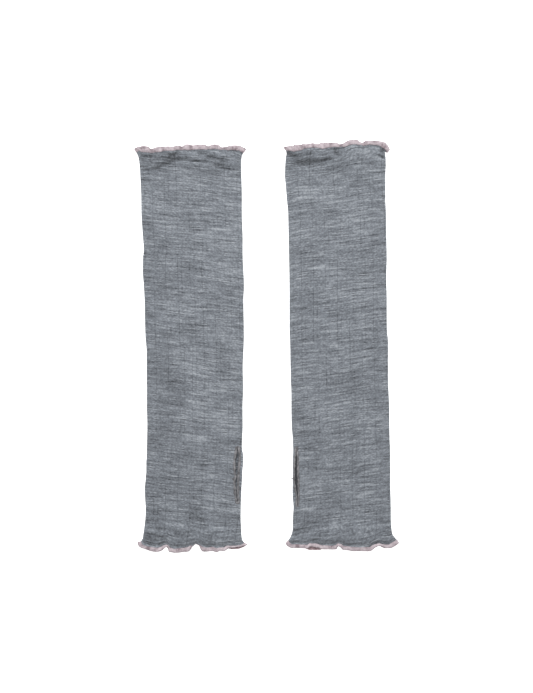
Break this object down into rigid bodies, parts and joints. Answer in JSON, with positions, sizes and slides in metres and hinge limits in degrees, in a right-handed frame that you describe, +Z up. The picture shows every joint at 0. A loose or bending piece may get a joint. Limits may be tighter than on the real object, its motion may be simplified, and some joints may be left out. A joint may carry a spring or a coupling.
{
  "type": "pair of knitted wrist warmers",
  "caption": "Long fingerless wrist warmers laid flat side by side: fine melange knit tubes with ruffled overlocked hems and an edged thumb slit near each inner fold.",
  "frame": {"origin": "centre of the pair's footprint, on the surface that it lies on", "axes": "+X across the pair from the left warmer to the right one, +Y along both from the hand ends to the forearm ends, +Z up from the surface"},
  "size_m": [0.2108, 0.3298, 0.0056],
  "materials": {
    "grey_melange_knit": "fine-gauge wool knit in cool grey melange, matt with a soft nap",
    "pink_hem_thread": "pale dusty pink overlock thread, softly lustrous",
    "mauve_edging_thread": "mauve-brown overlock thread, matt"
  },
  "bodies": {
    "root": {"left_tube": "grey_melange_knit", "left_forearm_hem": "pink_hem_thread", "left_hand_hem": "pink_hem_thread", "left_thumb_edging": "mauve_edging_thread", "right_tube": "grey_melange_knit", "right_forearm_hem": "pink_hem_thread", "right_hand_hem": "pink_hem_thread", "right_thumb_edging": "mauve_edging_thread"}
  },
  "joints": []
}
